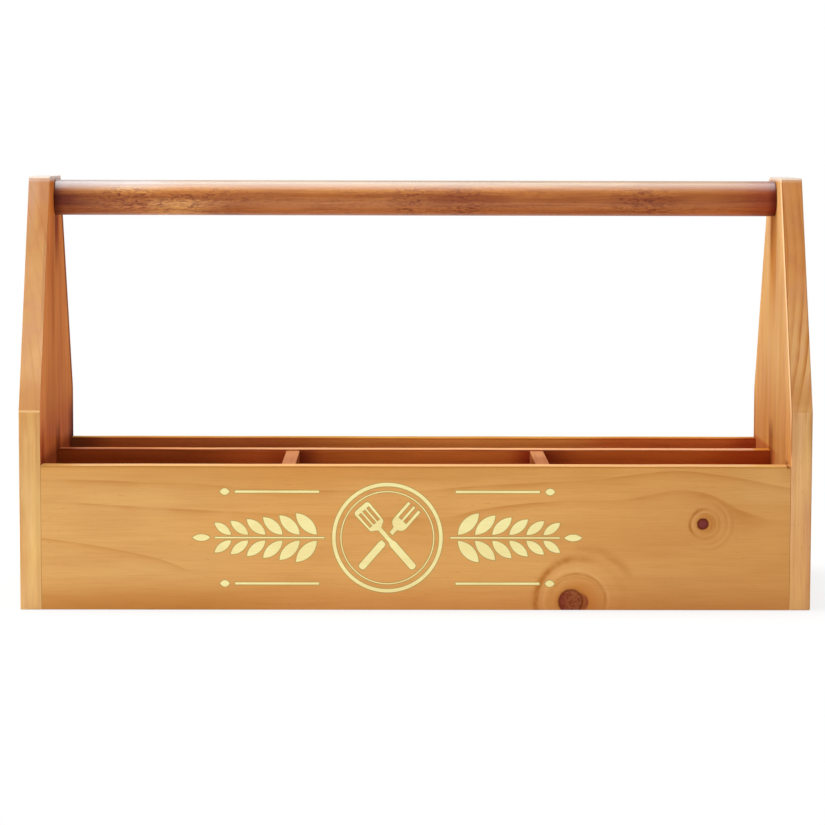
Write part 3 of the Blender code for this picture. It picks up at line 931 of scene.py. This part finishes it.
frontBoardWood = {
    "along": "x", "across": "z", "depth": "y", "seed": 3.7,
    "sway": 1.2, "ripple": 1.0, "ringContrast": 0.72, "blotch": 0.16, "streak": 0.10, "lateRamp": thinLate,
    "topCoat": 0.26, "topFrom": (0.85, 0.995), "fibre": 0.18,
    "stain": {"early": (0.703, 0.368, 0.118)},
    # places (along, up) on three growth lines, which the others follow
    "growthLines": [
        [(-225, 43), (-178, 36), (-147, 30), (-125, 22), (-86, 15), (-35, 10), (15, 13), (48, 26), (70, 36),
         (90, 40), (106, 37), (121, 26), (140, 10), (168, -8), (225, -30)],
        [(-225, 63), (-132, 57.5), (-76, 55), (-13, 52.8), (16, 52.8), (38, 57.5), (82, 62), (117, 63),
         (137, 66.9), (150, 68.2), (163, 66.6), (173, 62.3), (184, 56.6), (208, 50), (225, 47)],
        [(-225, 74.5), (-129, 71.7), (-76, 68.6), (-30, 67.6), (1, 67.6), (31, 70.3), (71, 72.5), (102, 74.2),
         (122, 76.9), (147, 79), (173, 76.5), (208, 70.1), (225, 67.5)],
    ],
    "lineStrengths": [0.1, 0.1, 0.1, 0.0, 0.8, 0.05, 0.95, 0.8, 0.15, 0.1],
    # the lowest line fades out, and shows again for a short way above the larger knot
    "quiet": [(0.95, ("x", -160, -95), ("z", 46, 40)), (1.0, ("x", 118, 132), ("z", 46, 40)),
              (0.6, ("x", 183, 196), ("z", 60, 57))],
    # each line round a knot: how far out, its width, its strength (pale below 0), the way (along, up) to its
    # strong side, and True where it shows on that side alone
    "knots": [
        {"along": 161.4, "across": 49.0, "radius": 3.35, "lean": 0.12, "wobble": 1.1, "uneven": 0.15,
         "mottle": 0.12, "rimFrom": 0.5, "core": (0.20, 0.042, 0.040), "fill": 0.75, "fillTo": 8.5,
         "rings": [(4.7, 0.45, 0.75, 1.0, 0.3), (6.1, 0.7, 0.6, 0.8, 0.6), (6.8, 0.5, -0.75, -0.7, 0.7),
                   (8.3, 1.0, 1.0, -0.9, 0.45), (7.7, 0.8, 0.6, -1.0, 0.1), (8.4, 0.6, 0.3, 0.8, -0.6),
                   (11.9, 0.8, 0.3, 1.0, -0.25), (12.9, 0.7, -0.2, 0.9, -0.45),
                   (14.8, 0.9, 0.25, 0.95, -0.3)]},
        {"along": 87.4, "across": 4.9, "radius": 7.1, "lean": 0.19, "wobble": 1.8, "mottle": 0.8,
         "fill": 0.95, "fillTo": 17.0, "core": (0.33, 0.110, 0.045), "lobe": (92.2, 4.6, 5.3),
         "rings": [(13.9, 0.5, 0.45, -0.3, 0.95), (15.6, 0.7, 0.6, 0.5, 0.85), (17.0, 0.6, -0.5, 0.9, 0.4),
                   (18.2, 1.0, -0.6, -0.8, 0.6), (21.2, 1.0, -0.5, -0.9, 0.4), (23.8, 2.3, 1.0, -0.85, 0.5),
                   (29.4, 2.0, 0.50, 0.60, 0.80, True)]},
    ],
    # darker low down and at the top left, paler at the right, a painted highlight and painted shade at the
    # top edge, and the missing splinter with painted shade in its notch
    "tintsAndPaintedLight": [
        ((0.93, 0.80, 0.72), ("z", 22, 0)),
        ((0.90, 0.85, 0.70), ("z", 22, 0), ("x", -60, -120)),
        ((0.93, 0.88, 0.80), ("z", 66, 78), ("y", -84, -85)),
        ((0.985, 1.04, 1.12), ("x", -60, -150)),
        ((0.90, 0.88, 0.88), ("x", 60, 170)),
        ((1.04, 1.13, 1.26), ("x", 165, 200), ("z", 56, 66)),
        ((1.09, 1.14, 1.18), ("x", 96, 125), ("x", 214, 200), ("z", 68, 76), ("y", -84, -85)),
        ((0.96, 0.94, 0.92), ("x", 60, 20), ("z", 79.2, 80.2), ("y", -84, -85)),
        ((0.81, 0.74, 0.56), ("z", 80.4, 80.6), ("y", -84.4, -84.6)),
        ((0.95, 0.98, 1.12), ("z", 81.0, 81.15), ("y", -84.4, -84.6)),
        ((1.09, 1.11, 1.05), ("upwards", 0.3, 0.8)),
        ((1.12, 1.22, 1.60), ("upwards", 0.3, 0.8), ("x", 207.3, 208.0), ("y", -82, -79)),
        ((0.66, 0.52, 0.40), ("x", 208.2, 208.6), ("x", 210.2, 209.9), ("z", 80.0, 80.4), ("z", 82.0, 81.7)),
    ],
}

backBoardWood = {
    "along": "x", "across": "z", "depth": "y", "seed": 41.2,
    "pithAcross": 52, "pithDepth": 150, "ringWidth": 6.8, "sway": 8, "topCoat": 0.0, "outside": ("y", 1),
    "stain": {"early": (0.72, 0.35, 0.105)},
    # painted shade on the inside, most of all towards the ends, and along the inner top arris, and a darker
    # tint on the top
    "tintsAndPaintedLight": [
        ((1.13, 1.05, 0.98), innerHalf),
        ((0.73, 0.55, 0.62), innerHalf, ("x", -20, -95)),
        ((0.50, 0.48, 0.60), innerHalf, ("x", -183, -203)),
        ((0.82, 0.56, 0.56), innerHalf, ("x", 82, 124)),
        ((0.72, 0.50, 0.55), innerHalf, ("x", 188, 206)),
        ((0.77, 0.88, 0.70), ("upwards", 0.3, 0.8)),
        ((0.84, 0.64, 0.48), ("y", 73.7, 73.5), ("z", 80.2, 80.7)),
        ((0.84, 0.75, 0.72), ("y", 73.7, 73.5), ("z", 80.95, 81.1)),
    ],
    "knots": [
        {"along": -118, "across": 47, "radius": 5.2, "push": 8, "spread": 3.5, "lean": -0.2},
        {"along": 60, "across": 20, "radius": 2.6, "push": 5, "spread": 4},
    ],
}

longDividerWood = {
    "along": "x", "across": "z", "depth": "y", "seed": 57.1,
    "pithAcross": -30, "pithDepth": 60, "ringWidth": 5.2, "sway": 7,
    "topCoat": 0.45, "topFrom": (0.90, 0.995), "thinning": (-50, -165, 0.8),
    "stain": {"early": (0.66, 0.200, 0.043), "late": (0.46, 0.112, 0.019)},
    # painted shade towards the ends, beside the cross dividers, on the top's front half and along its front
    # edge, and a painted highlight on the top
    "tintsAndPaintedLight": [
        ((0.42, 0.26, 0.18), ("y", 4.4, 4.0), ("z", 80.9, 81.1)),
        ((0.72, 0.56, 0.46), onTop, ("y", 9.6, 5.4), ("x", 120, 50)),
        ((0.66, 0.48, 0.40), onTop, ("y", 9.6, 5.6), ("x", -60, -110)),
        ((0.74, 0.58, 0.54), onTop, ("y", 15.0, 10), ("x", -138, -165)),
        ((0.86, 0.76, 0.72), onTop, ("x", 60, 110)),
        ((1.05, 1.12, 2.50), onTop, ("x", -50, -165)),
        ((0.90, 0.72, 0.80), onSides, ("x", -30, -75)),
        ((0.60, 0.58, 0.60), onSides, ("x", -90, -138)),
        ((0.84, 0.68, 0.64), onSides, ("x", 35, 75)),
        ((0.80, 0.58, 0.66), onSides, ("x", 160, 200)),
        ((0.50, 0.40, 0.60), onSides, ("x", -52, -67.5), ("x", -69, -68)),
        ((0.80, 0.70, 0.75), onSides, ("x", -94, -77), ("x", -75, -76)),
        ((0.62, 0.34, 0.50), onSides, ("x", 54, 68), ("x", 69, 68)),
        ((0.55, 0.42, 0.62), onSides, ("x", 101, 76), ("x", 75, 76)),
        ((1.25, 1.78, 1.28), ("upwards", 0.4, 0.8)),
        ((0.62, 0.48, 0.60), ("upwards", 0.4, 0.8), ("x", -192, -204)),
    ],
    "knots": [{"along": 128, "across": 35, "radius": 3.0, "push": 5, "spread": 4}],
}


# The print on the front: a ring with crossed tools, and a leafy sprig on either side

ornament = {
    "middle": (-16 * mm, 41 * mm),
    "height": 0.08 * mm,  # how far the print stands proud; the board's face lies back by as much
    "rim": 0.42 * mm,
    "ring": (31.5 * mm, 28.7 * mm),
    "innerRing": (26.8 * mm, 25.4 * mm),
    "tool": {"length": 47 * mm, "width": 11.5 * mm, "neck": 3.2 * mm, "grip": 4.8 * mm, "tilt": 41},
    "sprig": {"from": 36 * mm, "to": 103 * mm, "leaves": 6, "leaf": (18 * mm, 7.6 * mm)},
    "bar": {"up": 26 * mm, "thick": 2.1 * mm, "from": 38 * mm, "to": 86 * mm},
}


def printSheet(name, width, height, middle=(0, 0)):
    # a flat oblong that faces the front
    nothingSelected()
    bpy.ops.mesh.primitive_plane_add(size=1, location=(middle[0], 0, middle[1]), rotation=(math.pi / 2, 0, 0))
    piece = bpy.context.object
    piece.name = name
    piece.scale = (width, height, 1)
    settle(piece)
    return piece


def printRing(name, outer, inner):
    nothingSelected()
    bpy.ops.mesh.primitive_circle_add(
        vertices=96,
        radius=outer,
        fill_type="NGON",
        location=(0, 0, 0),
        rotation=(math.pi / 2, 0, 0),
    )
    piece = bpy.context.object
    piece.name = name
    settle(piece)
    pickAll(piece)
    bpy.ops.mesh.inset(thickness=outer - inner)
    bpy.ops.mesh.delete(type="FACE")
    done()
    return piece


def printLeaf(name, length, width):
    # a square stood on its corner, two corners rounded off, then stretched
    piece = printSheet(name, 1 * mm, 1 * mm)
    piece.rotation_euler = (0, math.pi / 4, 0)
    settle(piece)
    pick(piece, "vertices", lambda vertex: abs(vertex.co.z) > 0.5 * mm)
    bpy.ops.mesh.bevel(offset=0.92 * mm, segments=8, affect="VERTICES")
    done()
    across = max(v.co.z for v in piece.data.vertices) - min(v.co.z for v in piece.data.vertices)
    along = max(v.co.x for v in piece.data.vertices) - min(v.co.x for v in piece.data.vertices)
    piece.scale = (length / along, 1, width / across)
    settle(piece)
    return piece


def movePrint(piece, tilt, along, up):
    piece.rotation_euler = (0, math.radians(-tilt), 0)
    piece.location = (along, 0, up)
    settle(piece)
    return piece


def thicken(piece, height, rim):
    # a narrow sloping rim, then the raised face
    pickAll(piece)
    bpy.ops.mesh.remove_doubles(threshold=1e-6)
    pull(0, -height * 0.35, 0)
    bpy.ops.mesh.inset(thickness=rim, use_boundary=True)
    bpy.ops.transform.resize(value=(1, 0, 1), center_override=(0, -height * 0.35, 0))
    bpy.ops.transform.translate(value=(0, -height * 0.65, 0))
    done()


def drawnOut(name, steps):
    # a flat shape drawn out downwards from its top edge, through (half width, height)
    halfWidth, top = steps[0]
    under = steps[1][1]
    piece = printSheet(name, 2 * halfWidth, top - under, (0, (top + under) / 2))
    pick(piece, "edges", lambda edge: max(co.z for co in ends(piece, edge)) < under + 0.001 * mm)
    share = steps[1][0] / halfWidth
    bpy.ops.transform.resize(value=(share, 1, 1), center_override=(0, 0, under))
    for (halfWidth, height), (nextHalf, nextHeight) in zip(steps[1:], steps[2:]):
        pull(0, 0, nextHeight - height)
        share = nextHalf / halfWidth
        bpy.ops.transform.resize(value=(share, 1, 1), center_override=(0, 0, nextHeight))
    done()
    return piece


def arc(halfWidth, height, radius, start, end, turns=5):
    # steps round a corner, its angle measured from straight up; the corner's middle is at this height
    angles = [math.radians(start + (end - start) * i / turns) for i in range(turns + 1)]
    return [(halfWidth - radius + radius * math.sin(a), height + radius * math.cos(a)) for a in angles]


def gripSteps(look):
    # down the neck and round the grip
    neck, handGrip, low = look["neck"] / 2, look["grip"] / 2, -look["length"] / 2
    top = low + look["length"] * 0.40
    steps = [(neck, top + 2.4 * mm), (handGrip, top)]
    return steps + arc(handGrip, low + handGrip * 0.9, handGrip * 0.9, 90, 178)


def spatula(look):
    high, half = look["length"] / 2, look["width"] / 2
    deep = look["length"] * 0.34
    corner = half * 0.42
    steps = arc(half, high - corner, corner, 8, 90) + arc(half * 0.92, high - deep + corner, corner, 90, 172)
    piece = drawnOut("spatula", steps + [(look["neck"] / 2, high - deep - 1.2 * mm)] + gripSteps(look))
    return piece, printSlots(look, (-0.25, 0, 0.25), high - deep * 0.50, 1.1 * mm, deep * 0.56)


def fork(look):
    high, half = look["length"] / 2, look["width"] * 0.43
    deep = look["length"] * 0.36
    corner = half * 0.85
    steps = [(half, high)] + arc(half, high - deep + corner, corner, 90, 165)
    piece = drawnOut("fork", steps + [(look["neck"] / 2, high - deep - 1.0 * mm)] + gripSteps(look))
    return piece, printSlots(look, (-0.155, 0.155), high - deep * 0.26, 1.5 * mm, deep * 0.70)


def printSlots(look, places, up, width, height):
    made = []
    for place in places:
        along = look["width"] * place
        lowest = (along - width / 2, -3 * mm, up - height / 2)
        highest = (along + width / 2, 3 * mm, up + height / 2)
        made.append(block("printSlot", lowest, highest))
    return made


def printTool(make, tilt, cuts=()):
    # it gets a body first, so that slots can be cut through it
    piece, slots = make(ornament["tool"])
    pickAll(piece)
    pull(0, -1 * mm, 0)
    bpy.ops.mesh.select_all(action="SELECT")
    bpy.ops.mesh.normals_make_consistent(inside=False)
    done()
    for slot in slots:
        carve(piece, slot)
    movePrint(piece, tilt, 0, 0)
    for cut in cuts:
        carve(piece, cut)
    # only the front face is kept, back in the plane of the other prints
    pick(piece, "polygons", lambda face: face.normal.y > -0.9)
    bpy.ops.mesh.delete(type="FACE")
    bpy.ops.mesh.select_all(action="SELECT")
    bpy.ops.transform.translate(value=(0, 1 * mm, 0))
    bpy.ops.transform.resize(value=(1, 0, 1), center_override=(0, 0, 0))
    bpy.ops.mesh.remove_doubles(threshold=2e-5)
    bpy.ops.mesh.dissolve_limited(angle_limit=math.radians(0.5))
    done()
    return piece


def sprig(side):
    look = ornament["sprig"]
    pieces = []
    span = look["to"] - look["from"]
    length, width = look["leaf"]
    for i in range(look["leaves"]):
        share = i / look["leaves"]
        along = look["from"] + span * (0.04 + 0.86 * share)
        smaller = 1 - 0.35 * share
        for half in (-1, 1):
            leaf = printLeaf("leaf", length * smaller, width * smaller)
            lean = half * (46 - 12 * share)
            reach = length * smaller / 2
            centreAlong = along + reach * math.cos(math.radians(lean)) + 0.6 * mm
            centreUp = half * 1.3 * mm + reach * math.sin(math.radians(lean))
            pieces.append(movePrint(leaf, lean if side > 0 else 180 - lean, side * centreAlong, centreUp))
    tip = printLeaf("leaf", length * 0.62, width * 0.62)
    pieces.append(movePrint(tip, 0, side * (look["to"] + 1.5 * mm), 0))
    stem = printSheet("stem", span * 0.93, 1.6 * mm, (side * (look["from"] + span * 0.45), 0))
    pieces.append(stem)
    return pieces


def bars(side):
    look = ornament["bar"]
    pieces = []
    for half in (-1, 1):
        middle = (side * (look["from"] + look["to"]) / 2, half * look["up"])
        pieces.append(printSheet("bar", look["to"] - look["from"], look["thick"], middle))
        dot = printLeaf("lozenge", 6.4 * mm, 4.6 * mm)
        pieces.append(movePrint(dot, 0, side * (look["to"] + 5.4 * mm), half * look["up"]))
    return pieces


def ornamentModel():
    look = ornament
    pieces = [printRing("outerRing", *look["ring"]), printRing("innerRing", *look["innerRing"])]
    # the fork lies under the spatula, cut clear of it
    tool = look["tool"]
    half, reach = tool["neck"] / 2 + 1.1 * mm, tool["length"] / 2
    clear = block("toolClear", (-half, -3 * mm, -reach), (half, 3 * mm, reach))
    movePrint(clear, tool["tilt"], 0, 0)
    pieces.append(printTool(spatula, tool["tilt"]))
    pieces.append(printTool(fork, -tool["tilt"], [clear]))
    for side in (-1, 1):
        pieces += sprig(side) + bars(side)
    for piece in pieces:
        thicken(piece, look["height"], look["rim"])
    whole = join(pieces, "frontOrnament")
    whole.location = (look["middle"][0], -85 * mm + look["height"], look["middle"][1])
    settle(whole)
    return whole


paintTones = {
    "fresh": (0.895, 0.815, 0.390),
    "clouded": (0.840, 0.725, 0.325),
    "overFibre": (0.78, 0.58, 0.22),
    "overRing": (0.70, 0.45, 0.14),
    "wornAndLit": (0.68, 0.40, 0.12),
    "rim": (0.40, 0.26, 0.07),
}


class PrintFinish(WoodFinish):
    # the board's own grain shows faintly through the paint
    def colour(self):
        tones = paintTones
        self.fibre = self.grain("fibre")
        self.late = self.lateWood()
        cloud = self.rise(self.grain("paintCloud"), 0.42, 0.62)
        shade = self.mix(cloud * 0.6, tones["fresh"], tones["clouded"])
        shade = self.mix(self.rise(self.fibre, 0.44, 0.70) * 0.24, shade, tones["overFibre"])
        shade = self.mix(self.late * 0.22, shade, tones["overRing"])
        # worn spots, where the paint is rubbed thin
        shade = self.mix(self.rise(self.grain("paintWear"), 0.70, 0.78) * 0.45, shade, tones["wornAndLit"])
        slope = self.rise(1 - self.maths("ABSOLUTE", self.backwards), 0.002, 0.006)
        return self.mix(slope * 0.9, shade, tones["rim"])


def dressBoard(node, name, look, seed, grooveSide=0, holes=(), front=0.0):
    piece = boardModel(node, name, 0, seed, grooveSide, holes, front)
    if node == "front_board":
        chip(piece)
    smooth(piece)
    dress(piece, WoodFinish(name + "Pine", look).build(), [node])


# a splinter is missing from the right end of the front board's top edge
splinter = {
    "lowest": (207.7 * mm, -86 * mm, 80.7 * mm),
    "highest": (209.7 * mm, -81.5 * mm, 83 * mm),
    "footWidth": 0.4,
    "footPlace": (209.3 * mm, -84 * mm, 80.7 * mm),
}


def chip(piece):
    look = splinter
    flake = block("flake", look["lowest"], look["highest"])
    pick(flake, "vertices", lambda vertex: vertex.co.z < 82 * mm)
    bpy.ops.transform.resize(value=(look["footWidth"], 1, 1), center_override=look["footPlace"])
    done()
    carve(piece, flake)


setBack = ornament["height"]
nailHoles = [node for node in fastenerNodes() if "nail" in node]
dressBoard("front_board", "frontBoard", frontBoardWood, 1.0, grooveSide=1, front=setBack)
dressBoard("back_board", "backBoard", backBoardWood, 2.0, grooveSide=-1)
dressBoard("long_divider", "longDivider", longDividerWood, 3.0, holes=nailHoles)
print("long boards done")

paint = {**frontBoardWood, "roughness": 0.55, "coat": 0.04, "topCoat": 0.0, "relief": 0.00005}
dress(ornamentModel(), PrintFinish("palePrint", paint).build(), [])
print("ornament done")

crossStain = {"early": (0.58, 0.235, 0.085), "late": (0.42, 0.135, 0.035)}

# each is darker towards the front, with painted shade on its side that faces the middle bay
crossDividerWood = {
    "left": {
        "along": "y", "across": "z", "depth": "x", "seed": 71.5,
        "pithAcross": 20, "pithDepth": -130, "ringWidth": 4.6, "stain": crossStain,
        "tintsAndPaintedLight": [((0.85, 0.78, 0.74), ("y", -12, -42)), ((0.70, 0.60, 0.60), ("rightwards", 0.3, 0.8))],
    },
    "right": {
        "along": "y", "across": "z", "depth": "x", "seed": 83.9,
        "pithAcross": 55, "pithDepth": 140, "ringWidth": 5.0, "stain": crossStain,
        "tintsAndPaintedLight": [((0.74, 0.60, 0.46), ("y", -12, -42)), ((0.80, 0.66, 0.60), ("rightwards", -0.3, -0.8))],
    },
}

for end, seed in (("left", 4.0), ("right", 5.0)):
    node = "cross_divider_" + end
    piece = boardModel(node, end + "CrossDivider", 1, seed)
    smooth(piece)
    dress(piece, WoodFinish(end + "CrossPine", crossDividerWood[end]).build(), [node])
print("cross dividers done")

floorEdge = 0.3 * mm

floorWood = {
    "along": "x", "across": "y", "depth": "z", "seed": 97.7,
    "pithAcross": 10, "pithDepth": -190, "ringWidth": 3.4, "sway": 16, "ringContrast": 0.45,
    "coat": 0.15, "roughness": 0.52,
    "stain": {"early": (0.66, 0.36, 0.13)},
}


def floorModel():
    lowest, highest = corners("floor_board")
    piece = block("floorBoard", lowest, highest)
    softEdges(piece, floorEdge, segments=2)
    holes = [node for node in fastenerNodes() if "floor_screw" in node]
    carve(piece, holesFor("floorHoles", holes))
    smooth(piece)
    return piece


dress(floorModel(), WoodFinish("floorPly", floorWood).build(), ["floor_board"])
print("floor done")


# Handle

handle = {
    "sides": 96,
    "edge": 0.6 * mm,
    "stations": 20,
    "closer": 0.25 * mm,
}

handleWood = {
    "along": "x", "across": "z", "depth": "y", "seed": 19.4,
    "pithAcross": 262, "pithDepth": -18, "ringWidth": 3.4, "sway": 7, "ripple": 2.4, "ringContrast": 0.5,
    "blotch": 0.45, "streak": 0.5, "streakSize": 2.2, "fibre": 0.5, "flecks": 0.7, "edgeWearAndHighlight": 0.0,
    "endGrain": 0.0, "figure": 0.75, "curls": [(-165, 17), (-122, 22), (-2, 10), (30, 14), (134, 19)],
    "roughness": 0.42, "coat": 0.24, "topCoat": 0.95, "topFrom": (0.18, 0.93), "underCoat": 0.35,
    "coatRoughness": 0.30, "coatIor": 1.8, "relief": 0.00004, "thinning": (10, 190, 0.20),
    "stain": {"early": (0.55, 0.208, 0.066), "late": (0.31, 0.085, 0.026), "deep": (0.14, 0.035, 0.014),
              "curl": (0.235, 0.060, 0.026)},
    # painted shade at both ends, a darker band along the front with darker patches of figure on it, and
    # painted highlights on the top and low at the left
    "tintsAndPaintedLight": [
        ((0.46, 0.34, 0.38), ("x", -204, -210)),
        ((0.62, 0.50, 0.50), ("x", -158, -206)),
        ((0.44, 0.20, 0.18), ("x", 204, 210)),
        ((0.82, 0.66, 0.60), ("x", 160, 206)),
        ((0.80, 0.60, 0.76), ("x", 188, 207)),
        ((0.86, 0.78, 0.64), ("z", 227.0, 229.5), ("z", 236, 232), frontHalf),
        ((0.84, 0.72, 0.74), ("x", 2, 16), ("x", 66, 48), ("z", 233, 230), ("z", 226, 228.5), frontHalf),
        ((0.74, 0.60, 0.62), ("x", 104, 122), ("x", 166, 146), ("z", 231.8, 229.8), ("z", 226.3, 227.9),
         frontHalf),
        ((0.87, 0.76, 0.60), ("x", -80, -68), ("x", -16, -26), ("z", 232.6, 231.6), ("z", 230.2, 230.9),
         frontHalf),
        ((1.14, 1.26, 1.00), ("z", 231.5, 234.5)),
        ((0.58, 0.86, 1.60), ("z", 235, 239)),
        ((1.18, 1.38, 1.60), ("x", -140, -158), ("x", -206, -196), ("z", 231, 233.5), ("z", 236.4, 234.8)),
        ((0.70, 0.50, 0.52), ("x", -192, -204), ("z", 232.5, 231), ("z", 224, 227), frontHalf),
        ((1.20, 1.40, 1.40), ("x", -160, -148), ("x", -120, -130), ("z", 230.5, 229), frontHalf),
        ((1.16, 1.34, 1.45), ("x", -104, -118), ("x", -160, -150), ("z", 229.5, 227.5), frontHalf),
        ((1.22, 1.42, 1.70), ("x", -150, -160), ("z", 226, 224.5), frontHalf),
        ((0.88, 0.79, 0.70), ("x", 54, 66), ("x", 116, 104), ("z", 231, 229.8), ("z", 226.8, 228), frontHalf),
        ((0.82, 0.73, 0.50), ("x", -10, 30), ("z", 234.5, 235.6), ("z", 237.2, 236)),
        ((1.35, 1.38, 1.40), ("x", 60, 190), ("z", 237, 238.6)),
        ((1.02, 1.36, 2.60), ("x", -128, -165), ("z", 233.5, 236.5)),
    ],
}


def handleModel():
    look = handle
    lowest, highest = corners("handle")
    middle = (lowest + highest) / 2
    nothingSelected()
    bpy.ops.mesh.primitive_cylinder_add(
        vertices=look["sides"],
        radius=(highest.z - lowest.z) / 2,
        depth=highest.x - lowest.x + 2 * look["closer"],
        location=middle,
        rotation=(0, math.pi / 2, 0),
    )
    piece = bpy.context.object
    piece.name = "carryingHandle"
    settle(piece)
    pick(piece, "edges", lambda edge: runsAlong(piece, edge, 0))
    bpy.ops.mesh.subdivide(number_cuts=look["stations"])
    done()
    softEdges(piece, look["edge"], segments=3)
    smooth(piece)
    return piece


dress(handleModel(), WoodFinish("handleWood", handleWood).build(), ["handle"])
print("handle done")


# Fasteners

zinc = {
    "shade": (0.70, 0.69, 0.66),
    "dull": (0.50, 0.47, 0.40),
    "cloudScale": 900.0,
    "roughness": 0.32,
}


def zincMaterial():
    finish = Finish("zincPlate")
    place = finish.node("ShaderNodeTexCoord", output="Object")
    sockets = {0: place, "Scale": zinc["cloudScale"]}
    cloud = finish.noise(finish.node("ShaderNodeVectorMath", {"operation": "SCALE"}, sockets), detail=3)
    finish.feed(finish.shader.inputs["Base Color"], finish.mix(cloud, zinc["shade"], zinc["dull"]))
    finish.feed(finish.shader.inputs["Roughness"], cloud * 0.25 + (zinc["roughness"] - 0.1))
    finish.shader.inputs["Metallic"].default_value = 1.0
    return finish.material


zincPlate = zincMaterial()
models = {}
for number, node in enumerate(fastenerNodes()):
    kind = kindOf(node)
    if kind not in models:
        size = fastenerKinds[kind]
        models[kind] = size["model"](kind + "Model", size["shank"], size["head"], size["length"])
    piece = copyOf(models[kind], node + "_steel")
    placeAt(piece, node, turn=number * fastener["turn"])
    dress(piece, zincPlate, [node])
for model in models.values():
    bpy.data.objects.remove(model)
print("fasteners done:", len(fastenerNodes()))


# Stage and light

stage = {
    "size": 7.0,
    "drop": 0.2 * mm,
    "halfLength": 0.2225,  # of the caddy's own footprint
    "halfDepth": 0.085,
    "shade": 0.88,
    "whiteFrom": 0.16,
    "whiteTo": 0.42,
    "leastWhite": 0.76,
}


def addStage(look):
    # a matt sheet that keeps the caddy's shadow and turns to plain white a little way off
    finish = Finish("studioFloor")
    place = finish.node("ShaderNodeTexCoord", output="Object")
    x, y = finish.split(place)[:2]
    sideways = finish.maths("MAXIMUM", finish.maths("ABSOLUTE", x) - look["halfLength"], 0.0)
    inwards = finish.maths("MAXIMUM", finish.maths("ABSOLUTE", y) - look["halfDepth"], 0.0)
    reach = finish.maths("SQRT", sideways ** 2 + inwards ** 2)
    seen = finish.rays("Is Camera Ray", "Is Glossy Ray")
    finish.feed(finish.shader.inputs["Base Color"], (look["shade"],) * 3)
    finish.shader.inputs["Roughness"].default_value = 0.9
    finish.shader.inputs["Specular IOR Level"].default_value = 0.0
    sheet = Wire(finish, finish.shader.outputs[0])
    white = finish.node("ShaderNodeEmission", {}, {"Color": (1, 1, 1), "Strength": 1.0})
    spread = 1 - look["leastWhite"]
    share = (finish.rise(reach, look["whiteFrom"], look["whiteTo"]) * spread + look["leastWhite"]) * seen
    blend = finish.node("ShaderNodeMixShader", {}, {0: share, 1: sheet, 2: white})
    finish.feed(finish.tree.nodes["Material Output"].inputs["Surface"], blend)
    nothingSelected()
    bpy.ops.mesh.primitive_plane_add(size=look["size"], location=(0, 0, -look["drop"]))
    floor = bpy.context.object
    floor.name = "studioFloorSheet"
    floor.data.materials.append(finish.material)


world = {
    "ambient": 0.25,
}


def addWorld(look):
    # plain white to look at, and a fainter light on the caddy
    made = bpy.data.worlds.new("studioWorld")
    bpy.context.scene.world = made
    sky = Wiring(made)
    seen = sky.rays("Is Camera Ray", "Is Glossy Ray", "Is Transmission Ray")
    background = made.node_tree.nodes["Background"]
    sky.feed(background.inputs["Color"], (1, 1, 1))
    sky.feed(background.inputs["Strength"], seen * (1 - look["ambient"]) + look["ambient"])


lamps = {
    "overheadLamp": {"place": (-0.17, 0.13, 1.38), "size": (1.45, 2.0), "glow": 3.2, "turn": 0.3},
    "leftLamp": {"place": (-1.5, -0.30, 0.85), "size": (1.3, 0.7), "glow": 3.9},
    "lowFrontLamp": {"place": (-0.7, -2.3, 0.14), "size": (2.2, 0.22), "glow": 8.95, "sheen": False},
}


def addLamp(name, look):
    data = bpy.data.lights.new(name, "AREA")
    data.shape = "RECTANGLE"
    data.size, data.size_y = look["size"]
    data.energy = look["glow"] * math.pi * data.size * data.size_y
    made = bpy.data.objects.new(name, data)
    made.location = look["place"]
    aim = (Vector((0, 0, 0.1)) - Vector(look["place"])).to_track_quat("-Z", "Y").to_matrix()
    made.rotation_euler = (Matrix.Rotation(look.get("turn", 0.0), 3, "Z") @ aim).to_euler()
    made.visible_glossy = look.get("sheen", True)
    bpy.context.scene.collection.objects.link(made)


addStage(stage)
addWorld(world)
for name, look in lamps.items():
    addLamp(name, look)
bpy.context.scene.view_settings.view_transform = "Standard"
print("stage and lamps done")
